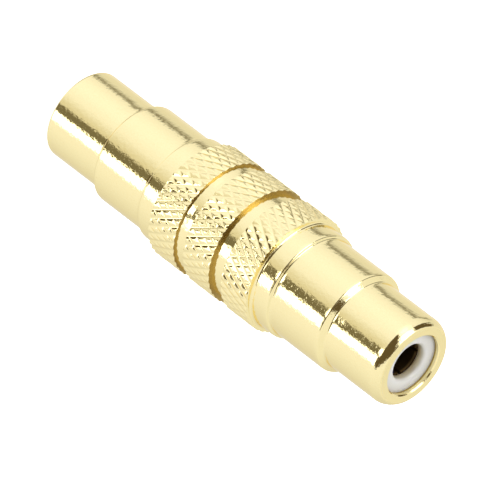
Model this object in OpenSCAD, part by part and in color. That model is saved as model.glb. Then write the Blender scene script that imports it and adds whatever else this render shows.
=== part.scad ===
// Phono coupler: two turned and knurled brass shells, pressed together at a groove, with an
// insulating sleeve and a slotted spring contact in each half. It stands on its rear mouth, axis up.

/* [Shell] */
// Length from mouth to mouth
total_length = 41; // [40:0.25:46]
// Diameter of a barrel where the mating ring grips it
barrel_d = 8.3; // [8.2:0.05:8.45]
// Diameter of a barrel at its root
barrel_root_d = 8.54; // [8.5:0.02:8.8]
// Length of a barrel, from its mouth to the stem
barrel_len = 6.53; // [6:0.1:8]
// Length of the flare at the root of a barrel
flare_len = 1.6; // [0.5:0.1:2.5]
// Depth of the rounding on the front mouth, in from the barrel
mouth_round = 0.65; // [0.2:0.05:0.8]
// Length of the rounding on the front mouth
mouth_round_len = 1.1; // [0.4:0.1:1.6]
// Depth and length of the rounding on the rear mouth
rear_mouth_round = 0.25; // [0.1:0.05:0.6]
// Diameter of a stem, the plain stretch behind the barrel
stem_d = 9.46; // [9.3:0.02:9.6]
// Diameter of a collar, the step between stem and knurl
collar_d = 10.06; // [10:0.02:10.2]
// Length of a collar
collar_len = 1.91; // [1:0.1:3]
// Length of the rounding where the shell steps down to a stem or a barrel
shoulder_len = 0.6; // [0.3:0.05:0.8]
// Length of the hollow at the foot of such a step
shoulder_foot = 0.25; // [0.1:0.05:0.4]

/* [Knurl] */
// Diameter over the knurl
knurl_d = 11.07; // [10.95:0.01:11.4]
// Width of each of the three knurled bands
band_w = 3.2; // [2.4:0.1:4]
// Teeth round a band, for each hand of groove
teeth = 42; // [36:1:48]
// Angle of the knurl grooves to the axis
helix_angle = 30; // [26:1:36]
// Depth of the knurl grooves
cut_depth = 0.12; // [0.08:0.01:0.24]
// Share of the half pitch left flat across the wide grooves
wide_flat = 0.34; // [0.2:0.02:0.6]
// Share of the half pitch left flat across the narrow grooves
narrow_flat = 0.58; // [0.5:0.02:0.85]
// Least chamfer on each end of a band
band_chamfer = 0.08; // [0.04:0.02:0.2]
// Chamfer on the edge of the rear shell at the joint
joint_chamfer = 0.08; // [0.04:0.02:0.36]
// Width of the plain groove between the two rear bands
plain_groove_w = 1.16; // [0.6:0.1:2]
// Diameter at the bottom of the plain groove
plain_groove_d = 10.32; // [10.1:0.02:10.4]
// Radius of the plain groove's floor, which rises towards the rear band
plain_groove_round = 6; // [3:0.5:10]
// Width of the groove at the joint of the two shells
joint_groove_w = 1.5; // [0.8:0.1:2.4]
// Diameter at the bottom of the groove at the joint
joint_groove_d = 10.2; // [9.8:0.02:10.3]

/* [Joint] */
// Diameter of the spigot that holds the front shell in the rear one
spigot_d = 8.2; // [7.8:0.1:8.6]
// Length of the spigot
spigot_len = 4; // [3:0.25:5.5]
// Clearance beyond the end of the spigot
spigot_end_gap = 0.1; // [0.05:0.05:0.3]
// Radial clearance of what is pressed together
press_gap = 0.01; // [0:0.005:0.02]

/* [Insulator] */
// Outside diameter of an insulator
insulator_d = 6.6; // [6.4:0.05:6.8]
// Diameter of the opening in a mouth
mouth_d = 5.72; // [5.5:0.02:6]
// Chamfer on the inner edge of a mouth
mouth_chamfer = 0.1; // [0.05:0.01:0.2]
// Depth of an insulator's face behind the mouth
face_depth = 0.5; // [0.3:0.05:0.9]
// Diameter of the hole in an insulator's face
face_hole_d = 3.42; // [3.3:0.02:3.6]
// Thickness of an insulator's face
face_wall = 0.8; // [0.5:0.05:1.2]
// Radius round the hole in an insulator's face
hole_round = 0.3; // [0.1:0.02:0.5]

/* [Contact] */
// Bore of a contact, which takes the centre pin
contact_bore_d = 3.2; // [3.1:0.02:3.25]
// Wall of a contact
contact_wall = 0.38; // [0.3:0.02:0.45]
// Depth of a contact's bore
contact_bore_len = 12.5; // [11:0.25:13]
// Slits that part a contact into spring fingers
slits = 4; // [3:1:6]
// Width of a slit
slit_w = 0.35; // [0.2:0.05:0.4]
// Length of a slit
slit_len = 8; // [5:0.5:10]
// Thickness of the web behind a contact's bore
web_len = 1; // [0.6:0.1:1.5]
// Diameter of the flange that seats a contact in its insulator
flange_d = 5.1; // [4.9:0.05:5.4]
// Thickness of the flange
flange_len = 1.2; // [0.8:0.1:1.6]
// Diameter of a contact's tail
tail_d = 3; // [2.6:0.1:3.4]
// Length of a contact's tail behind its flange
tail_len = 2.4; // [1.5:0.1:3]
// Diameter of the pin that links the two contacts
link_d = 1.6; // [1.2:0.1:1.8]
// Clearance of a contact in its insulator
contact_gap = 0.1; // [0.05:0.01:0.15]

/* [Hidden] */
$fn = 96;

GOLD = "gold";
WHITE = "whitesmoke";
CONTACT_GOLD = "darkgoldenrod";

half = total_length / 2;
barrel_r = barrel_d / 2;
stem_r = stem_d / 2;
collar_r = collar_d / 2;
mouth_r = mouth_d / 2;
sleeve_bore_r = insulator_d / 2 + press_gap;
spigot_r = spigot_d / 2;
plain_groove_r = plain_groove_d / 2;
joint_groove_r = joint_groove_d / 2;

// Heights of the knurled stretch, from the middle of the coupler
knurl_half = (3 * band_w + plain_groove_w + joint_groove_w) / 2;
rear_band = -knurl_half;
middle_band = rear_band + band_w + plain_groove_w;
joint = middle_band + band_w;
front_band = joint + joint_groove_w;
spigot_end = joint - spigot_len;

// Knurl: the pitch round the band, half the pitch along it, and how far the grooves reach inward
knurl_r = knurl_d / 2;
root_r = knurl_r - cut_depth;
pitch_angle = 360 / teeth;
half_lead = PI * knurl_d / teeth / tan(helix_angle) / 2;
band_seat = 0.35;
end_drop = 0.03;
steepest = 55;

// Heights inside a half, from the middle of the coupler
face = half - face_depth;
contact_tip = face - face_wall - contact_gap;
flange_front = contact_tip - contact_bore_len - web_len + flange_len;
flange_back = flange_front - flange_len;
tail_end = flange_back - tail_len;
link_end = flange_back;
contact_r = contact_bore_d / 2 + contact_wall;
contact_seat_r = contact_r + contact_gap;
flange_seat_r = flange_d / 2 + contact_gap;
tip_chamfer = contact_wall / 2;

// Points of a quarter oval that turns a wall at radius r into a face at height z
function edge_round(r, z, depth, length) = [
    for (a = [0 : 15 : 90]) [r - depth + depth * cos(a), z - length + length * sin(a)]
];

// Points of a step down from one radius to the next: a rounding, a cone at the steepest slope and a
// hollow at the foot, with the middle of the step at height z
function shoulder(outer, inner, z) =
    let (
        round_r = (outer - inner) * 0.62,
        foot_r = (outer - inner) * 0.38,
        round_end = atan(tan(steepest) * shoulder_len / round_r),
        foot_end = atan(tan(steepest) * shoulder_foot / foot_r),
        cone_top = outer - round_r * (1 - cos(round_end)),
        cone_foot = inner + foot_r * (1 - cos(foot_end)),
        cone_half = (cone_top - cone_foot) / tan(steepest) / 2,
        round_base = z - cone_half - shoulder_len * sin(round_end),
        foot_top = z + cone_half + shoulder_foot * sin(foot_end)
    )
    concat(
        [
            for (i = [0 : 4])
                let (a = round_end * i / 4)
                    [outer - round_r * (1 - cos(a)), round_base + shoulder_len * sin(a)]
        ],
        [
            for (i = [3 : -1 : 0])
                let (a = foot_end * i / 3)
                    [inner + foot_r * (1 - cos(a)), foot_top - shoulder_foot * sin(a)]
        ]
    );

// Outline of a shell's mouth half, from the collar to the bore behind the mouth lip
function end_outline(round_depth, round_len) = concat(
    [[collar_r, knurl_half]],
    shoulder(collar_r, stem_r, knurl_half + collar_len),
    shoulder(stem_r, barrel_root_d / 2, half - barrel_len),
    [[barrel_r, half - barrel_len + flare_len]],
    edge_round(barrel_r, half, round_depth, round_len),
    [
        [mouth_r + mouth_chamfer, half],
        [mouth_r, half - mouth_chamfer],
        [mouth_r, face],
        [sleeve_bore_r, face]
    ]
);

// Lattice place of a point at u across the wide grooves and v across the narrow ones
function lattice(u, v) = [(u + v) / 2, (v - u) / 2];

// The four corners of the flat on top of a tooth. Teeth on an end row are cut in half there.
function flat_corners(row, rows) = [
    row == rows ? lattice(wide_flat, wide_flat) : lattice(wide_flat, narrow_flat),
    row == rows ? lattice(-wide_flat, -wide_flat) : lattice(-wide_flat, narrow_flat),
    row == 0 ? lattice(-wide_flat, -wide_flat) : lattice(-wide_flat, -narrow_flat),
    row == 0 ? lattice(wide_flat, wide_flat) : lattice(wide_flat, -narrow_flat)
];

// Radius of the plain groove's floor, at a distance from the middle band
function plain_floor_r(along) =
    plain_groove_r + plain_groove_round - sqrt(plain_groove_round ^ 2 - along ^ 2);

function polar(r, angle, z) = [r * cos(angle), r * sin(angle), z];

function fan(loop) = [for (i = [1 : len(loop) - 2]) [loop[0], loop[i], loop[i + 1]]];

// A ring with a diamond knurl. Wide grooves run one way round and narrow ones the other, and every
// crossing of two grooves is a corner of four teeth. Each end is chamfered down to end_r.
module knurl_ring(base, chamfer_low, chamfer_high, inner_r) {
    end_r = root_r - end_drop;
    rows = floor((band_w - chamfer_low - chamfer_high) / half_lead);
    spare = (band_w - rows * half_lead) - chamfer_low - chamfer_high;
    low = base + chamfer_low + spare / 2;
    function shift(row) = row % 2 / 2;
    function height(row) = low + row * half_lead;
    crossings = [
        for (row = [0 : rows], i = [0 : teeth - 1])
            polar(root_r, (i + shift(row)) * pitch_angle, height(row))
    ];
    flats = [
        for (row = [0 : rows], i = [0 : teeth - 1], p = flat_corners(row, rows))
            polar(knurl_r, (i + shift(row) + 0.5 + p[0] / 2) * pitch_angle, height(row + p[1]))
    ];
    rims = [
        for (end = [[end_r, 0, base], [end_r, rows, base + band_w],
                    [inner_r, 0, base], [inner_r, rows, base + band_w]],
             i = [0 : teeth - 1])
            polar(end[0], (i + shift(end[1])) * pitch_angle, end[2])
    ];
    function crossing(row, i) = row * teeth + i % teeth;
    function flat(row, i, corner) = len(crossings) + (row * teeth + i % teeth) * 4 + corner;
    function rim(end, i) = len(crossings) + len(flats) + end * teeth + i % teeth;
    faces = [
        for (row = [0 : rows], i = [0 : teeth - 1])
            let (
                left = crossing(row, i),
                right = crossing(row, i + 1),
                up = crossing(row + 1, i + row % 2),
                down = crossing(row - 1, i + row % 2),
                t = [for (corner = [0 : 3]) flat(row, i, corner)]
            )
            each concat(
                fan([t[3], t[2], t[1], t[0]]),
                row == 0 ? [[right, t[3], t[0]]] : fan([right, down, t[3], t[0]]),
                row == rows ? [[left, t[1], t[2]]] : fan([left, up, t[1], t[2]]),
                row == rows ? [] : fan([up, right, t[0], t[1]]),
                row == 0 ? [] : fan([down, left, t[2], t[3]])
            ),
        for (i = [0 : teeth - 1])
            each concat(
                fan([rim(0, i), crossing(0, i), flat(0, i, 2), flat(0, i, 3)]),
                fan([rim(0, i + 1), rim(0, i), flat(0, i, 3), crossing(0, i + 1)]),
                fan([rim(1, i), flat(rows, i, 1), crossing(rows, i)]),
                fan([rim(1, i), flat(rows, i, 0), flat(rows, i, 1)]),
                fan([rim(1, i), rim(1, i + 1), crossing(rows, i + 1), flat(rows, i, 0)]),
                fan([rim(0, i), rim(0, i + 1), rim(2, i + 1), rim(2, i)]),
                fan([rim(1, i + 1), rim(1, i), rim(3, i), rim(3, i + 1)]),
                fan([rim(2, i), rim(2, i + 1), rim(3, i + 1), rim(3, i)])
            )
    ];
    polyhedron(concat(crossings, flats, rims), faces, convexity = 4);
}

// Puts a half that is modelled with its mouth up into the front or the rear half of the coupler
module front_half() {
    translate([0, 0, half])
        children();
}

module rear_half() {
    translate([0, 0, half])
        mirror([0, 0, 1])
            children();
}

module front_shell() {
    color(GOLD)
    front_half()
    union() {
        rotate_extrude()
            polygon(concat(
                [
                    [sleeve_bore_r, spigot_end + spigot_end_gap],
                    [spigot_r, spigot_end + spigot_end_gap],
                    [spigot_r, joint],
                    [joint_groove_r, joint],
                    [joint_groove_r, front_band + band_w / 2],
                    [collar_r, front_band + band_w / 2]
                ],
                end_outline(mouth_round, mouth_round_len)
            ));
        knurl_ring(front_band, band_chamfer, band_chamfer, joint_groove_r - band_seat);
    }
}

module rear_shell() {
    color(GOLD)
    rear_half()
    union() {
        rotate_extrude()
            polygon(concat(
                [
                    [sleeve_bore_r, -spigot_end],
                    [spigot_r + press_gap, -spigot_end],
                    [spigot_r + press_gap, -joint],
                    [plain_groove_r, -joint]
                ],
                [
                    for (i = [0 : 4])
                        let (along = plain_groove_w * i / 4)
                            [plain_floor_r(along), -middle_band + along]
                ],
                [
                    [plain_floor_r(plain_groove_w), knurl_half - band_w / 2],
                    [collar_r, knurl_half - band_w / 2]
                ],
                end_outline(rear_mouth_round, rear_mouth_round)
            ));
        knurl_ring(-joint, joint_chamfer, band_chamfer, plain_groove_r - band_seat);
        knurl_ring(-rear_band - band_w, band_chamfer, band_chamfer, collar_r - band_seat);
    }
}

module insulator() {
    rotate_extrude()
        polygon(concat(
            [
                [insulator_d / 2, 0],
                [insulator_d / 2, face]
            ],
            [
                for (a = [90 : 15 : 180])
                    [
                        face_hole_d / 2 + hole_round + hole_round * cos(a),
                        face - hole_round + hole_round * sin(a)
                    ]
            ],
            [
                [face_hole_d / 2, face - face_wall],
                [contact_seat_r, face - face_wall],
                [contact_seat_r, flange_front],
                [flange_seat_r, flange_front],
                [flange_seat_r, 0]
            ]
        ));
}

module contact() {
    difference() {
        rotate_extrude()
            polygon([
                [0, tail_end],
                [tail_d / 2, tail_end],
                [tail_d / 2, flange_back],
                [flange_d / 2, flange_back],
                [flange_d / 2, flange_front],
                [contact_r, flange_front],
                [contact_r, contact_tip],
                [contact_bore_d / 2 + tip_chamfer, contact_tip],
                [contact_bore_d / 2, contact_tip - tip_chamfer],
                [contact_bore_d / 2, contact_tip - contact_bore_len],
                [0, contact_tip - contact_bore_len]
            ]);
        for (i = [0 : slits - 1])
            rotate((i + 0.5) * 360 / slits)
                translate([0, -slit_w / 2, contact_tip - slit_len])
                    cube([contact_r + contact_gap, slit_w, slit_len + contact_gap]);
        translate([0, 0, tail_end - contact_gap])
            cylinder(r = link_d / 2 + press_gap, h = tail_len + contact_gap);
    }
}

module front_insulator() {
    color(WHITE)
        front_half()
            insulator();
}

module rear_insulator() {
    color(WHITE)
        rear_half()
            insulator();
}

module front_contact() {
    color(CONTACT_GOLD)
        front_half()
            contact();
}

module rear_contact() {
    color(CONTACT_GOLD)
        rear_half()
            contact();
}

// The link pin fills the blind holes in the tails of both contacts and keeps the two apart
module link_pin() {
    color(CONTACT_GOLD)
        translate([0, 0, half - link_end])
            cylinder(r = link_d / 2, h = 2 * link_end);
}

rear_shell();
front_shell();
rear_insulator();
front_insulator();
rear_contact();
front_contact();
link_pin();
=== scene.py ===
# Phono coupler, socket to socket. Two turned brass shells with a diamond knurl are plated in bright
# gold, and hold white insulating sleeves and slotted spring contacts. It stands on its rear mouth.
import math

import bmesh
import bpy
from mathutils import Matrix, Vector


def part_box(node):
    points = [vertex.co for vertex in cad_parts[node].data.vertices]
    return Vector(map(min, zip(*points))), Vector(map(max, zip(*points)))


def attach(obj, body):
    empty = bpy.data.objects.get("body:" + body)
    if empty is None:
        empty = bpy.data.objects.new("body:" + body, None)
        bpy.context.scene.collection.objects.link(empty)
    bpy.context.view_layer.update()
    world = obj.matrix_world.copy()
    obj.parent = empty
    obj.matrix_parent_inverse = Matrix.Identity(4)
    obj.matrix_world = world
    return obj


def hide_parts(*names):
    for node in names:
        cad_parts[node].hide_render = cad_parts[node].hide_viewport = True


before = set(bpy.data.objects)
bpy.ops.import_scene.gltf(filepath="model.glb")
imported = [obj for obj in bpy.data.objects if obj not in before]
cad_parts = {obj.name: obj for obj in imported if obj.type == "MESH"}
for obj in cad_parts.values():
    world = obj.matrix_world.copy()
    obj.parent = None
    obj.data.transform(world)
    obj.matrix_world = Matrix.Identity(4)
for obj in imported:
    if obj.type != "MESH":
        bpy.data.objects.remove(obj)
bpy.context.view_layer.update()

MM = 0.001

# Sizes in millimetres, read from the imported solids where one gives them
PRESS_GAP = 0.01
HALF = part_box("front_shell")[1].z / MM / 2
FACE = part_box("front_insulator")[1].z / MM - HALF
INSULATOR_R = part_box("front_insulator")[1].y / MM
SLEEVE_BORE_R = INSULATOR_R + PRESS_GAP
CONTACT_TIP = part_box("front_contact")[1].z / MM - HALF
TAIL_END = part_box("front_contact")[0].z / MM - HALF
FLANGE_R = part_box("front_contact")[1].y / MM

# Shell, outside
BARREL_R = 4.15
BARREL_ROOT_R = 4.18
BARREL_LEN = 6.53
FLARE_LEN = 1.6
STEM_R = 4.73
COLLAR_R = 5.03
COLLAR_LEN = 1.91
COLLAR_FILLET = 0.25
MOUTH_R = 2.86
MOUTH_CHAMFER = 0.1

# Polished edges and feet. Each bend is the lean that it ends at, in degrees, and its radius
STEM_EDGE = [(10, 1.7), (64, 0.15)]
STEM_FOOT = [(10, 1.7), (64, 0.15)]
BARREL_EDGE = [(10, 1.3), (55, 0.17)]
BARREL_FOOT = [(10, 0.9), (55, 0.15)]
FRONT_MOUTH = [(43, 1.36), (90, 0.32)]
REAR_MOUTH = [(90, 0.25)]

# Knurl: two hands of shallow groove, the one of them wider and so deeper than the other
KNURL_R = 5.535
BAND_W = 3.2
TEETH = 42
HELIX = math.radians(30)
PITCH = math.tau * KNURL_R / TEETH * math.cos(HELIX)
LEAD = math.tau * KNURL_R / TEETH / math.tan(HELIX)
WIDE_HALF = 0.27
NARROW_HALF = 0.21
FLANK_SLOPE = math.tan(math.radians(22.5))
EDGE_ROUND = 0.03
FLOOR_ROUND = 0.02
BAND_CHAMFER = 0.02
COLLAR_CHAMFER = 0.08
COLLAR_CHAMFER_SLOPE = math.tan(math.radians(72))

# Grooves between the bands, the plain one of them with a hollow floor
PLAIN_GROOVE_W = 1.16
PLAIN_GROOVE_R = 5.16
PLAIN_GROOVE_ROUND = 8
JOINT_GROOVE_W = 1.5
JOINT_GROOVE_R = 5.1

# Joint of the two shells
SPIGOT_R = 4.1
SPIGOT_LEN = 4
SPIGOT_END_GAP = 0.1
SPIGOT_CHAMFER = 0.15

# Insulator and contact
FACE_HOLE_R = 1.71
FACE_WALL = 0.8
HOLE_ROUND = 0.3
CONTACT_BORE_R = 1.6
CONTACT_WALL = 0.38
CONTACT_R = CONTACT_BORE_R + CONTACT_WALL
CONTACT_TIP_ROUND = CONTACT_WALL / 2
CONTACT_BORE_LEN = 12.5
CONTACT_GAP = 0.1
SLITS = 4
SLIT_W = 0.35
SLIT_LEN = 8
WEB_LEN = 1
FLANGE_LEN = 1.2
TAIL_R = 1.5
LINK_R = 0.8

# Heights from the middle of the coupler, along a half that is held mouth up
KNURL_HALF = (3 * BAND_W + PLAIN_GROOVE_W + JOINT_GROOVE_W) / 2
JOINT = KNURL_HALF - BAND_W - JOINT_GROOVE_W
SPIGOT_END = JOINT - SPIGOT_LEN
STEM_END = HALF - BARREL_LEN
BORE_END = CONTACT_TIP - CONTACT_BORE_LEN
FLANGE_FRONT = BORE_END - WEB_LEN + FLANGE_LEN
FLANGE_BACK = FLANGE_FRONT - FLANGE_LEN

# Fineness of the meshes. A support is a line close to an edge, which keeps the stretch beside it flat
SEGMENTS = 192
ARC_STEP = math.radians(7.5)
FLARE_STEP = 0.07
FLANK_STEP = 0.065
SUPPORT = 0.02
FLAT_SUPPORT = 0.03
FLAT_TOLERANCE = 0.001
SHARP = math.radians(35)


def linear(colour):
    """The linear colour, with alpha, of an sRGB hex colour such as F2D88A."""
    channels = [int(colour[i : i + 2], 16) / 255 for i in (0, 2, 4)]
    return [c / 12.92 if c <= 0.04045 else ((c + 0.055) / 1.055) ** 2.4 for c in channels] + [1]


def add(tree, kind, inputs=None, **settings):
    """Adds a node with its settings. An input is a constant, or an output to link it to."""
    node = tree.nodes.new("ShaderNode" + kind)
    for name, value in settings.items():
        setattr(node, name, value)
    for key, value in (inputs or {}).items():
        if isinstance(value, bpy.types.NodeSocket):
            tree.links.new(value, node.inputs[key])
        else:
            node.inputs[key].default_value = value
    return node


def placed(name, data):
    """Makes an object of a mesh or a camera, and puts it in the scene."""
    made = bpy.data.objects.new(name, data)
    bpy.context.scene.collection.objects.link(made)
    return made


# Outlines, as points of radius and height


def arc(r, z, radius, start, end):
    """Points round the centre (r, z) from one angle to another, in degrees."""
    start, end = math.radians(start), math.radians(end)
    steps = max(2, round(abs(end - start) / ARC_STEP))
    angles = [start + (end - start) * i / steps for i in range(steps + 1)]
    return [(r + radius * math.cos(a), z + radius * math.sin(a)) for a in angles]


def rolled(r, bends):
    """Points of a wall that starts upright at height 0 and leans further inward with each bend."""
    points = [(r, 0)]
    start = 0
    for end, radius in bends:
        r, z = points[-1]
        low, high = math.radians(start), math.radians(end)
        bend = arc(r - radius * math.cos(low), z - radius * math.sin(low), radius, start, end)
        points += bend[1:]
        start = end
    return points


def shoulder(outer, inner, middle, edge, foot):
    """A step down from one radius to the next round a height. Polishing has rounded its edge and its
    foot, each with bends that end at the same lean, and the wall between keeps that lean."""
    upper, lower = rolled(outer, edge), rolled(inner, foot)
    drop = upper[-1][0] - (2 * inner - lower[-1][0])
    half = drop / math.tan(math.radians(edge[-1][0])) / 2
    lift, sink = middle - half - upper[-1][1], middle + half + lower[-1][1]
    return [(r, z + lift) for r, z in upper] + [(2 * inner - r, sink - z) for r, z in lower[::-1]]


def flare(outer, inner, low, high):
    """Points of a wall that narrows from one radius to the next, straight at both of its ends."""
    steps = math.ceil((high - low) / FLARE_STEP)
    shares = [i / steps for i in range(1, steps + 1)]
    return [
        (outer - (outer - inner) * (1 - math.cos(math.pi * t)) / 2, low + (high - low) * t)
        for t in shares
    ]


def supported(outline):
    """The outline with a point close to each end of a long stretch, which keeps its shading flat."""
    points = [outline[0]]
    for a, b in zip(outline, outline[1:]):
        run = math.dist(a, b)
        if run > 4 * SUPPORT:
            share = SUPPORT / run
            for t in (share, 1 - share):
                points.append((a[0] + (b[0] - a[0]) * t, a[1] + (b[1] - a[1]) * t))
        points.append(b)
    return points


class Skin:
    """The points and faces of one closed skin round the Z axis, in millimetres, mouth up."""

    def __init__(self):
        self.points = []
        self.faces = []

    def ring(self, r, z):
        """Adds a ring of points. Returns their indices."""
        first = len(self.points)
        for i in range(SEGMENTS):
            a = math.tau * i / SEGMENTS
            self.points.append((r * math.cos(a), r * math.sin(a), z))
        return list(range(first, first + SEGMENTS))

    def turn(self, outline):
        """Turns an outline round the axis. Returns its first and last ring."""
        rings = [self.ring(*p) for p in supported(outline)]
        for low, high in zip(rings, rings[1:]):
            self.loft(low, high)
        return rings[0], rings[-1]

    def loft(self, low, high):
        """Joins two rings."""
        for i in range(SEGMENTS):
            j = (i + 1) % SEGMENTS
            self.faces.append((low[i], low[j], high[j], high[i]))

    def angle(self, index):
        """The angle of a point round the axis."""
        x, y, _ = self.points[index]
        return math.atan2(y, x) % math.tau

    def seam(self, low, high):
        """Joins two closed loops that have different counts of points."""
        low = sorted(low, key=self.angle)
        high = sorted(high, key=self.angle)
        i = j = 0
        while i < len(low) or j < len(high):
            next_low = self.angle(low[i + 1]) if i + 1 < len(low) else math.tau
            next_high = self.angle(high[j + 1]) if j + 1 < len(high) else math.tau
            a, b = low[i % len(low)], high[j % len(high)]
            if j >= len(high) or (i < len(low) and next_low <= next_high):
                self.faces.append((a, low[(i + 1) % len(low)], b))
                i += 1
            else:
                self.faces.append((a, high[(j + 1) % len(high)], b))
                j += 1

    def piece(self, name, mirrored=False):
        """Makes the skin an object in the frame of the coupler, mirrored for the rear half."""
        side = -1 if mirrored else 1
        points = [(x * MM, y * MM, (HALF + side * z) * MM) for x, y, z in self.points]
        faces = [f[::side] for f in self.faces]
        mesh = bpy.data.meshes.new(name)
        mesh.from_pydata(points, [], faces)
        mesh.validate()
        mesh.shade_smooth()
        mesh.set_sharp_from_angle(angle=SHARP)
        return placed(name, mesh)


# Knurl


def lines_across(half_width):
    """Where mesh lines lie across one pitch of groove, from one groove's middle to the next."""
    steps = round(half_width / FLANK_STEP)
    flank = [half_width * i / steps for i in range(steps + 1)]
    half = [y / PITCH for y in flank + [half_width + FLAT_SUPPORT]] + [0.5]
    return half + [1 - f for f in reversed(half[1:-1])]


def groove(phase, half_width):
    """Depth of a groove at a phase counted in pitches, with its floor and its edges rounded."""
    across = math.hypot(abs(phase - round(phase)) * PITCH, FLOOR_ROUND)
    cut = (half_width - across) * FLANK_SLOPE
    return (cut + math.hypot(cut, EDGE_ROUND * FLANK_SLOPE)) / 2


class KnurlBand:
    """A knurled band. Its mesh lines follow both hands of groove, so that each crease is crisp. They
    are laid on a plain cylinder, which is trimmed to the band and then sunk to the grooves' depth."""

    wide = lines_across(WIDE_HALF)
    narrow = lines_across(NARROW_HALF)

    def __init__(self, base, chamfer_low, chamfer_high, slope_high=1):
        self.base, self.top = base, base + BAND_W
        self.chamfer_low, self.chamfer_high, self.slope_high = chamfer_low, chamfer_high, slope_high
        # The rows of diamonds lie in the middle of the straight part
        rows = math.floor((BAND_W - chamfer_low - chamfer_high) / (LEAD / 2))
        spare = BAND_W - rows * LEAD / 2 - chamfer_low - chamfer_high
        self.low = base + chamfer_low + spare / 2

    def place(self, i, j):
        """Where line i of the wide grooves meets line j of the narrow ones, in teeth and height."""
        u = i // len(self.wide) + self.wide[i % len(self.wide)]
        v = j // len(self.narrow) + self.narrow[j % len(self.narrow)]
        return (u + v) / 2, self.low + LEAD * (v - u) / 2

    def radius(self, tooth, z):
        """The finished radius, within the grooves and the chamfers of the ends."""
        along = (z - self.low) / LEAD
        cut = max(groove(tooth - along, WIDE_HALF), groove(tooth + along, NARROW_HALF))
        low_edge = self.chamfer_low - (z - self.base)
        high_edge = (self.chamfer_high - (self.top - z)) * self.slope_high
        return KNURL_R - max(cut, low_edge, high_edge, 0)

    def split(self, v, corners):
        """The faces of a cell: two, along the diagonal that keeps a crease, or one if it is flat."""
        r = [self.radius(*c) for c in corners]
        middle = self.radius(sum(c[0] for c in corners) / 4, sum(c[1] for c in corners) / 4)
        one, other = abs((r[0] + r[2]) / 2 - middle), abs((r[1] + r[3]) / 2 - middle)
        if abs(one - other) < FLAT_TOLERANCE:
            return [v]
        if one < other:
            return [(v[0], v[1], v[2]), (v[0], v[2], v[3])]
        return [(v[1], v[2], v[3]), (v[1], v[3], v[0])]

    def cylinder(self):
        """The mesh lines on a plain cylinder, out to a little past both ends of the band."""
        bm = bmesh.new()
        made = {}
        turn_wide, turn_narrow = TEETH * len(self.wide), TEETH * len(self.narrow)

        def vertex(i, j):
            """The vertex where two lines meet. After a whole turn the lines meet themselves."""
            key = i % turn_wide, j - i // turn_wide * turn_narrow
            if key not in made:
                tooth, z = self.place(*key)
                a = tooth * math.tau / TEETH
                made[key] = bm.verts.new((KNURL_R * math.cos(a), KNURL_R * math.sin(a), z))
            return made[key]

        for i in range(turn_wide):
            u = i / len(self.wide)
            first = math.floor((u + 2 * (self.base - self.low) / LEAD - 1) * len(self.narrow))
            last = math.ceil((u + 2 * (self.top - self.low) / LEAD + 1) * len(self.narrow))
            for j in range(first, last):
                cell = [(i, j), (i + 1, j), (i + 1, j + 1), (i, j + 1)]
                corners = [self.place(*c) for c in cell]
                heights = [c[1] for c in corners]
                if max(heights) >= self.base and min(heights) <= self.top:
                    v = [vertex(*c) for c in cell]
                    for face in self.split(v, corners):
                        bm.faces.new(face)
        return bm

    def trim(self, bm):
        """Cuts the cylinder to the band, and gives it lines where the chamfers start."""
        snap = 1e-6
        cuts = [
            (self.base, -1, True),
            (self.top, 1, True),
            (self.base + self.chamfer_low, 1, False),
            (self.top - self.chamfer_high, 1, False),
        ]
        for z, side, outer in cuts:
            bmesh.ops.bisect_plane(
                bm,
                geom=bm.verts[:] + bm.edges[:] + bm.faces[:],
                dist=snap,
                plane_co=(0, 0, z),
                plane_no=(0, 0, side),
                clear_outer=outer,
            )

    def add_to(self, skin):
        """Adds the finished band to a skin. Returns the loops of points at its two ends."""
        bm = self.cylinder()
        self.trim(bm)
        first = len(skin.points)
        ends = [], []
        near = 1e-4
        bm.verts.index_update()
        for v in bm.verts:
            x, y, z = v.co
            a = math.atan2(y, x)
            r = self.radius(a * TEETH / math.tau, z)
            skin.points.append((r * math.cos(a), r * math.sin(a), z))
            for end, height in zip(ends, (self.base, self.top)):
                if abs(z - height) < near:
                    end.append(first + v.index)
        for face in bm.faces:
            skin.faces.append(tuple(first + v.index for v in face.verts))
        bm.free()
        return ends


# Pieces


def mouth_half(skin, rounding):
    """Turns collar, stem, barrel and mouth, whose outer edge is rounded with bends."""
    mouth = rolled(BARREL_R, rounding)
    lift = HALF - mouth[-1][1]
    step_down = shoulder(STEM_R, BARREL_ROOT_R, STEM_END, BARREL_EDGE, BARREL_FOOT)
    outline = (
        arc(COLLAR_R + COLLAR_FILLET, KNURL_HALF + COLLAR_FILLET, COLLAR_FILLET, 270, 180)
        + shoulder(COLLAR_R, STEM_R, KNURL_HALF + COLLAR_LEN, STEM_EDGE, STEM_FOOT)
        + step_down
        + flare(BARREL_ROOT_R, BARREL_R, step_down[-1][1], STEM_END + FLARE_LEN)
        + [(r, z + lift) for r, z in mouth]
        + [
            (MOUTH_R + MOUTH_CHAMFER, HALF),
            (MOUTH_R, HALF - MOUTH_CHAMFER),
            (MOUTH_R, FACE),
            (SLEEVE_BORE_R, FACE),
        ]
    )
    return skin.turn(outline)


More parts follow.
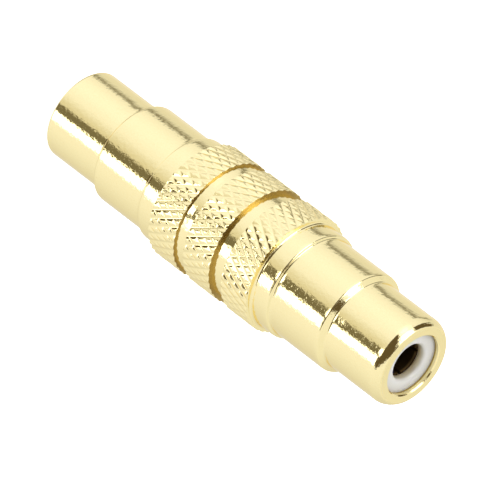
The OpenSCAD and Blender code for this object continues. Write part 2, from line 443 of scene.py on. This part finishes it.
def front_shell():
    """The near shell: spigot, floor of the groove at the joint, one band of knurl and the mouth."""
    skin = Skin()
    band = KNURL_HALF - BAND_W
    first, groove_end = skin.turn(
        [
            (SLEEVE_BORE_R, SPIGOT_END + SPIGOT_END_GAP),
            (SPIGOT_R - SPIGOT_CHAMFER, SPIGOT_END + SPIGOT_END_GAP),
            (SPIGOT_R, SPIGOT_END + SPIGOT_END_GAP + SPIGOT_CHAMFER),
            (SPIGOT_R, JOINT),
            (JOINT_GROOVE_R, JOINT),
            (JOINT_GROOVE_R, band),
        ]
    )
    knurl = KnurlBand(band, BAND_CHAMFER, COLLAR_CHAMFER, COLLAR_CHAMFER_SLOPE)
    low, high = knurl.add_to(skin)
    skin.seam(groove_end, low)
    collar, last = mouth_half(skin, FRONT_MOUTH)
    skin.seam(high, collar)
    skin.loft(last, first)
    return skin.piece("front_shell_plated")


def rear_shell():
    """The far shell: socket for the spigot, two bands of knurl with the plain groove, and the mouth."""
    skin = Skin()
    first, joint_end = skin.turn(
        [
            (SLEEVE_BORE_R, -SPIGOT_END),
            (SPIGOT_R + PRESS_GAP, -SPIGOT_END),
            (SPIGOT_R + PRESS_GAP, -JOINT),
            (JOINT_GROOVE_R, -JOINT),
        ]
    )
    low, high = KnurlBand(-JOINT, BAND_CHAMFER, BAND_CHAMFER).add_to(skin)
    skin.seam(joint_end, low)
    groove_base = -JOINT + BAND_W
    lean = math.degrees(math.asin(PLAIN_GROOVE_W / PLAIN_GROOVE_ROUND))
    floor_centre = PLAIN_GROOVE_R + PLAIN_GROOVE_ROUND
    wall, groove_end = skin.turn(
        arc(floor_centre, groove_base, PLAIN_GROOVE_ROUND, 180, 180 - lean)
    )
    skin.seam(high, wall)
    band = groove_base + PLAIN_GROOVE_W
    knurl = KnurlBand(band, BAND_CHAMFER, COLLAR_CHAMFER, COLLAR_CHAMFER_SLOPE)
    low, high = knurl.add_to(skin)
    skin.seam(groove_end, low)
    collar, last = mouth_half(skin, REAR_MOUTH)
    skin.seam(high, collar)
    skin.loft(last, first)
    return skin.piece("rear_shell_plated", mirrored=True)


def insulator(name, mirrored):
    """A white sleeve with a rounded hole in its face, which guides the pin into the contact."""
    skin = Skin()
    first, last = skin.turn(
        [(INSULATOR_R, 0), (INSULATOR_R, FACE)]
        + arc(FACE_HOLE_R + HOLE_ROUND, FACE - HOLE_ROUND, HOLE_ROUND, 90, 180)
        + [
            (FACE_HOLE_R, FACE - FACE_WALL),
            (CONTACT_R + CONTACT_GAP, FACE - FACE_WALL),
            (CONTACT_R + CONTACT_GAP, FLANGE_FRONT),
            (FLANGE_R + CONTACT_GAP, FLANGE_FRONT),
            (FLANGE_R + CONTACT_GAP, 0),
        ]
    )
    skin.loft(last, first)
    return skin.piece(name, mirrored)


def slit_cutter(number, mirrored):
    """A plate through the axis, which cuts two slits that face each other."""
    side = -1 if mirrored else 1
    wide = 2 * (CONTACT_R + CONTACT_GAP)
    size = Vector((wide, SLIT_W, SLIT_LEN + CONTACT_GAP)) * MM
    middle = CONTACT_TIP - (SLIT_LEN - CONTACT_GAP) / 2
    turn = Matrix.Rotation((number + 0.5) * math.tau / SLITS, 4, "Z")
    place = Matrix.Translation((0, 0, (HALF + side * middle) * MM))
    mesh = bpy.data.meshes.new("slit_cutter")
    bm = bmesh.new()
    bmesh.ops.create_cube(bm, size=1, matrix=place @ turn @ Matrix.Diagonal(size.to_4d()))
    bm.to_mesh(mesh)
    bm.free()
    return placed("slit_cutter", mesh)


def contact(name, mirrored):
    """A turned spring contact with slits along its bore, a flange and a tail for the link pin."""
    skin = Skin()
    # The floor of the bore ends in a ring that is too small to see
    floor_r = 0.001
    first, last = skin.turn(
        [
            (LINK_R, TAIL_END),
            (TAIL_R, TAIL_END),
            (TAIL_R, FLANGE_BACK),
            (FLANGE_R, FLANGE_BACK),
            (FLANGE_R, FLANGE_FRONT),
            (CONTACT_R, FLANGE_FRONT),
        ]
        + arc(
            CONTACT_R - CONTACT_TIP_ROUND, CONTACT_TIP - CONTACT_TIP_ROUND, CONTACT_TIP_ROUND, 0, 180
        )
        + [
            (CONTACT_BORE_R, BORE_END),
            (floor_r, BORE_END),
            (floor_r, FLANGE_BACK),
            (LINK_R, FLANGE_BACK),
        ]
    )
    skin.loft(last, first)
    piece = skin.piece(name, mirrored)
    for number in range(SLITS // 2):
        cutter = slit_cutter(number, mirrored)
        cut = piece.modifiers.new("slits", "BOOLEAN")
        cut.operation = "DIFFERENCE"
        cut.solver = "EXACT"
        cut.object = cutter
        bpy.context.view_layer.update()
        graph = bpy.context.evaluated_depsgraph_get()
        mesh = bpy.data.meshes.new_from_object(piece.evaluated_get(graph))
        piece.modifiers.clear()
        piece.data = mesh
        bpy.data.objects.remove(cutter)
    piece.data.set_sharp_from_angle(angle=SHARP)
    return piece


# Materials


def material(name):
    """A new material, and its empty node tree."""
    made = bpy.data.materials.new(name)
    made.use_nodes = True
    tree = made.node_tree
    tree.nodes.clear()
    return made, tree


def finish_surface(tree, inputs):
    """Ends a material's tree with a shader for its surface."""
    shader = add(tree, "BsdfPrincipled", inputs)
    add(tree, "OutputMaterial", {"Surface": shader.outputs["BSDF"]})


def painted_corner_shade(tree, place, lean):
    """A mask of painted shade: the walls of the grooves between the bands, which lie across the axis,
    and the corner between each mouth's bore and the insulator's face."""
    wall_lean = 0.9
    bore_margin = 0.09
    corner_depth = 0.15
    # The bands' outer ends, beside the collars, are left out
    walls_half = KNURL_HALF - 0.1
    height = add(tree, "SeparateXYZ", {0: place}).outputs["Z"]
    inner = add(tree, "Math", {0: height, 1: HALF * MM, 2: walls_half * MM}, operation="COMPARE")
    wall = add(tree, "Math", {0: lean, 1: wall_lean}, operation="GREATER_THAN")
    wall = add(tree, "Math", {0: wall.outputs[0], 1: inner.outputs[0]}, operation="MULTIPLY")
    across = add(tree, "VectorMath", {0: place, 1: [1, 1, 0]}, operation="MULTIPLY").outputs[0]
    radius = add(tree, "VectorMath", {0: across}, operation="LENGTH").outputs["Value"]
    bore = add(tree, "Math", {0: radius, 1: (MOUTH_R + bore_margin) * MM}, operation="LESS_THAN")
    sunk = add(
        tree, "Math", {0: height, 1: HALF * MM, 2: (FACE + corner_depth) * MM}, operation="COMPARE"
    )
    bore = add(tree, "Math", {0: bore.outputs[0], 1: sunk.outputs[0]}, operation="MULTIPLY")
    return add(
        tree, "Math", {0: wall.outputs[0], 1: bore.outputs[0]}, operation="MAXIMUM"
    ).outputs[0]


def bright_gold_plate():
    """Bright gold plated over nickel on turned brass. The bath levels the turned skin to a mirror
    with a faint grain. The faces across the axis keep their tool marks, so they are duller. Painted
    shade darkens the colour on the groove walls and in the corners beside the insulators' faces."""
    made, tree = material("bright_gold_plate")
    place = add(tree, "TexCoord").outputs["Object"]
    # The real grain and specks are some hundredths of a millimetre wide, too fine to show, so both
    # are drawn coarser
    grain_mm, grain_height_mm = 0.3, 0.016
    speck_mm = 0.09
    grain = add(tree, "TexNoise", {"Vector": place, "Scale": 1 / (grain_mm * MM), "Detail": 6})
    speck = add(tree, "TexNoise", {"Vector": place, "Scale": 1 / (speck_mm * MM), "Detail": 1})
    bump = add(tree, "Bump", {"Height": grain.outputs["Fac"], "Distance": grain_height_mm * MM})
    pale, warm, painted_shade_brown = linear("FFF3BC"), linear("FCEAAA"), linear("BCA261")
    tone = add(tree, "Mix", {0: speck.outputs["Fac"], 6: pale, 7: warm}, data_type="RGBA")
    normal = add(tree, "NewGeometry").outputs["Normal"]
    lean = add(tree, "SeparateXYZ", {0: normal}).outputs["Z"]
    lean = add(tree, "Math", {0: lean}, operation="ABSOLUTE").outputs[0]
    # Painted shade: the groove walls and the mouths' corners are mixed towards a darker tone, for the
    # shade and the gold's reflections of itself there
    corners = painted_corner_shade(tree, place, lean)
    tone = add(tree, "Mix", {0: corners, 6: tone.outputs[2], 7: painted_shade_brown}, data_type="RGBA")
    polished, tooled = 0.05, 0.4
    roughness = add(
        tree,
        "MapRange",
        {"Value": lean, "From Min": 0.985, "From Max": 0.995, "To Min": polished, "To Max": tooled},
    )
    finish_surface(
        tree,
        {
            "Base Color": tone.outputs[2],
            "Metallic": 1,
            "Roughness": roughness.outputs["Result"],
            "Specular Tint": linear("FFF8E7"),
            "Normal": bump.outputs["Normal"],
        },
    )
    return made


def moulded_white_plastic():
    """White plastic, moulded in a polished tool. Light goes a little way into it, so its edges look
    soft and milky. Down the hole its colour is painted tan, a painted reflection of the gold contact's
    light."""
    made, tree = material("moulded_white_plastic")
    place = add(tree, "TexCoord").outputs["Object"]
    height = add(tree, "SeparateXYZ", {0: place}).outputs["Z"]
    middle = add(tree, "Math", {0: height, 1: -HALF * MM}, operation="ADD").outputs[0]
    middle = add(tree, "Math", {0: middle}, operation="ABSOLUTE").outputs[0]
    # Painted reflection: down the hole the colour runs from white to tan, for the light of the gold
    # contact
    reflection_from, reflection_to = FACE - HOLE_ROUND / 2, FACE - FACE_WALL
    depth = add(
        tree, "MapRange", {"Value": middle, "From Min": reflection_from * MM, "From Max": reflection_to * MM}
    ).outputs["Result"]
    white, tan = linear("E9E8DE"), linear("EBD3A4")
    tone = add(tree, "Mix", {0: depth, 6: white, 7: tan}, data_type="RGBA")
    finish_surface(
        tree,
        {
            "Base Color": tone.outputs[2],
            "Roughness": 0.3,
            "IOR": 1.49,
            "Subsurface Weight": 0.9,
            "Subsurface Radius": [1, 1, 0.8],
            "Subsurface Scale": 1.5 * MM,
        },
    )
    return made


def contact_gold_plate():
    """Gold plated on spring brass. It is seen only deep in a hole, where it looks dull and dark, so
    its colour and roughness are those of that shade."""
    made, tree = material("contact_gold_plate")
    finish_surface(tree, {"Base Color": linear("4A3A22"), "Metallic": 1, "Roughness": 0.6})
    return made


# Light tent. Azimuth is counted from the camera's side of the upright coupler, with the left negative


def patch(tree, place, centre, half, edge, turn=0, square=False):
    """A mask that is 1 inside an oval or a rectangle of azimuth and elevation, in degrees, and falls
    to 0 over its edge, which is a share of its half size."""
    local = add(
        tree,
        "Mapping",
        {
            "Vector": place,
            "Location": [*centre, 0],
            "Rotation": [0, 0, math.radians(turn)],
            "Scale": [*half, 1],
        },
        vector_type="TEXTURE",
    ).outputs["Vector"]
    if square:
        sides = add(tree, "VectorMath", {0: local}, operation="ABSOLUTE").outputs["Vector"]
        split = add(tree, "SeparateXYZ", {0: sides}).outputs
        far = add(tree, "Math", {0: split["X"], 1: split["Y"]}, operation="MAXIMUM").outputs[0]
    else:
        far = add(tree, "VectorMath", {0: local}, operation="LENGTH").outputs["Value"]
    return add(
        tree,
        "MapRange",
        {"Value": far, "From Min": 1 + edge, "From Max": 1 - edge},
        interpolation_type="SMOOTHSTEP",
    ).outputs["Result"]


def fold(tree, place, foot, lean, fade):
    """A mask along a fold of the tent: crisp on one side, and fading over degrees on the other."""
    crisp_edge, soft_edge = 1, 2
    split = add(tree, "SeparateXYZ", {0: place}).outputs
    shift = add(tree, "Math", {0: split["Y"], 1: -lean}, operation="MULTIPLY").outputs[0]
    across = add(tree, "Math", {0: split["X"], 1: shift}, operation="ADD").outputs[0]
    crisp = add(
        tree,
        "MapRange",
        {"Value": across, "From Min": foot + crisp_edge, "From Max": foot - crisp_edge},
    ).outputs["Result"]
    faded = add(
        tree,
        "MapRange",
        {"Value": across, "From Min": foot - fade, "From Max": foot + soft_edge},
        interpolation_type="SMOOTHSTEP",
    ).outputs["Result"]
    return add(tree, "Math", {0: crisp, 1: faded}, operation="MULTIPLY").outputs[0]


def paint(tree, mask, below, above):
    """Lays one light over another where the mask says so."""
    return add(tree, "Mix", {0: mask, 6: below, 7: above}, data_type="RGBA").outputs[2]


def sky_place(tree):
    """The direction of a ray, as azimuth and elevation in degrees."""
    ray = add(tree, "TexCoord").outputs["Generated"]
    split = add(tree, "SeparateXYZ", {0: ray}).outputs
    ahead = add(tree, "Math", {0: split["Y"], 1: -1}, operation="MULTIPLY").outputs[0]
    azimuth = add(tree, "Math", {0: split["X"], 1: ahead}, operation="ARCTAN2").outputs[0]
    azimuth = add(tree, "Math", {0: azimuth}, operation="DEGREES").outputs[0]
    elevation = add(tree, "Math", {0: split["Z"]}, operation="ARCSINE").outputs[0]
    elevation = add(tree, "Math", {0: elevation}, operation="DEGREES").outputs[0]
    return add(tree, "CombineXYZ", {0: azimuth, 1: elevation}).outputs[0]


def light_tent():
    """A tent of pale cloth with lamps, gaps and an opening, for the gold to mirror. Its lights are
    laid over each other in order."""
    world = bpy.data.worlds.new("light_tent")
    world.use_nodes = True
    tree = world.node_tree
    tree.nodes.clear()
    place = sky_place(tree)

    def lay(light, colour, *where, **form):
        """Lays a patch of the tent over the light so far."""
        return paint(tree, patch(tree, place, *where, **form), light, colour)

    # Strengths of the lights, in linear red, green and blue
    cloth = [0.76, 0.76, 0.76, 1]
    dim_cloth = [0.76, 0.72, 0.62, 1]
    top_cloth = [0.9, 0.9, 0.9, 1]
    left_cloth = [1.11, 1.12, 1.24, 1]
    right_cloth = [1.02, 1.02, 1.08, 1]
    glow = [1.8, 1.8, 1.8, 1]
    lamp = [3, 3, 3, 1]
    dark = [0.2, 0.175, 0.115, 1]
    deep = [0.12, 0.09, 0.05, 1]
    crease = [0.12, 0.1, 0.045, 1]
    backdrop = [1.05, 1.05, 1.05, 1]

    # Cloth lit a little from above, and more on the left, on the right and behind. Beside the gap
    # in front it is dim
    light = lay(cloth, top_cloth, (0, 80), (200, 60), 0.3, square=True)
    light = lay(light, left_cloth, (-50, -30), (46, 120), 1)
    light = lay(light, right_cloth, (50, -30), (56, 120), 1)
    light = lay(light, top_cloth, (-155, -30), (22, 120), 1)
    light = lay(light, dim_cloth, (13, -32), (16, 40), 1)

    # The fold behind on the left, with a gap above it and a dark corner below it
    shade = fold(tree, place, -131, -1, 23)
    low = patch(tree, place, (-100, -28), (80, 14), 0.3, square=True)
    shade = add(tree, "Math", {0: shade, 1: low}, operation="MULTIPLY").outputs[0]
    light = paint(tree, shade, light, crease)
    light = lay(light, deep, (-100, 21), (28, 12), 0.1, turn=10, square=True)
    light = lay(light, dark, (-125, -60), (26, 16), 0.4)

    # The upper part of the opening, and the tall lamp beside it with its glow below
    light = lay(light, glow, (-50, 6), (12, 18), 1)
    light = lay(light, deep, (-8, 72), (38, 14), 0.05, square=True)
    light = lay(light, lamp, (-54, 48), (21, 22), 0.08, square=True)
    light = lay(light, lamp, (-80, 56), (16, 13), 0.1)

    # The gap below the opening, with haze in front of it, and the long window beside that
    light = lay(light, deep, (23, -42), (10, 34), 0.04, square=True)
    light = lay(light, deep, (27.5, -62), (14.5, 15), 0.04, square=True)
    light = lay(light, dark, (23, -32), (10, 12), 0.04, square=True)
    light = lay(light, lamp, (43.5, -34), (10.5, 12), 0.04, square=True)

    # The domed opening that the camera looks through, on its sill, the shade at the end of the sill
    # and the glint below it
    dome = patch(tree, place, (8, -10), (43, 70), 0.03)
    sill = patch(tree, place, (8, 46), (70, 48), 0.03, square=True)
    opening = add(tree, "Math", {0: dome, 1: sill}, operation="MULTIPLY").outputs[0]
    light = paint(tree, opening, light, deep)
    light = lay(light, deep, (43, -2), (14, 15), 0.1)
    light = lay(light, lamp, (18.5, -14), (8.5, 13), 0.1)

    # Past the coupler there is a plain white backdrop, which it does not mirror
    seen = add(tree, "LightPath").outputs["Is Camera Ray"]
    light = paint(tree, seen, light, backdrop)
    background = add(tree, "Background", {"Color": light})
    add(tree, "OutputWorld", {"Surface": background.outputs[0]})
    bpy.context.scene.world = world


def pale_floor():
    """A sheet of white paper, lit evenly enough to show no edge. The gold mirrors the tent alone."""
    made, tree = material("pale_paper")
    paper = add(tree, "BsdfDiffuse", {"Color": linear("F4F4F2")})
    glow = add(tree, "Emission", {"Color": linear("FFFFFF"), "Strength": 0.7})
    both = add(tree, "AddShader", {0: paper.outputs[0], 1: glow.outputs[0]})
    add(tree, "OutputMaterial", {"Surface": both.outputs[0]})
    half = 1.5
    corners = [(-half, -half, 0), (half, -half, 0), (half, half, 0), (-half, half, 0)]
    mesh = bpy.data.meshes.new("floor")
    mesh.from_pydata(corners, [], [(0, 1, 2, 3)])
    mesh.materials.append(made)
    floor = placed("floor", mesh)
    floor.visible_glossy = False


def camera():
    """Looks from the photograph's side, rolled so that the axis falls to the lower right. Its place
    and lens are fitted to the outline in the photograph."""
    lens_mm, sensor_mm = 660.9, 36
    distance = 0.7649
    roll = math.radians(37.31)
    tilt = math.radians(57.72)
    shift_right, shift_down = 0.346 * MM, 0.982 * MM
    aim = Vector((0, 0, HALF * MM))
    towards = Vector((0, -math.sin(tilt), math.cos(tilt)))
    along = Vector((0, math.cos(tilt), math.sin(tilt)))
    side = Vector((1, 0, 0))
    right = along * math.cos(roll) - side * math.sin(roll)
    down = along * math.sin(roll) + side * math.cos(roll)
    data = bpy.data.cameras.new("camera")
    data.sensor_width = sensor_mm
    data.lens = lens_mm
    data.clip_start = 0.01
    place = aim + towards * distance + right * shift_right + down * shift_down
    turn = Matrix((right, -down, towards)).transposed().to_4x4()
    eye = placed("camera", data)
    eye.matrix_world = Matrix.Translation(place) @ turn
    bpy.context.scene.camera = eye


def dress(piece, node, finish):
    """Gives a piece its finish, and puts it in the place of its CAD node."""
    piece.data.materials.clear()
    piece.data.materials.append(finish)
    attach(piece, "root")
    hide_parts(node)


gold = bright_gold_plate()
plastic = moulded_white_plastic()
contact_gold = contact_gold_plate()
dress(front_shell(), "front_shell", gold)
dress(rear_shell(), "rear_shell", gold)
dress(insulator("front_sleeve", False), "front_insulator", plastic)
dress(insulator("rear_sleeve", True), "rear_insulator", plastic)
dress(contact("front_spring_contact", False), "front_contact", contact_gold)
dress(contact("rear_spring_contact", True), "rear_contact", contact_gold)
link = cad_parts["link_pin"]
link.data.materials.clear()
link.data.materials.append(contact_gold)

light_tent()
pale_floor()
camera()
# The plain display transform keeps the whites white and the gold as pale as it is
bpy.context.scene.view_settings.view_transform = "Standard"
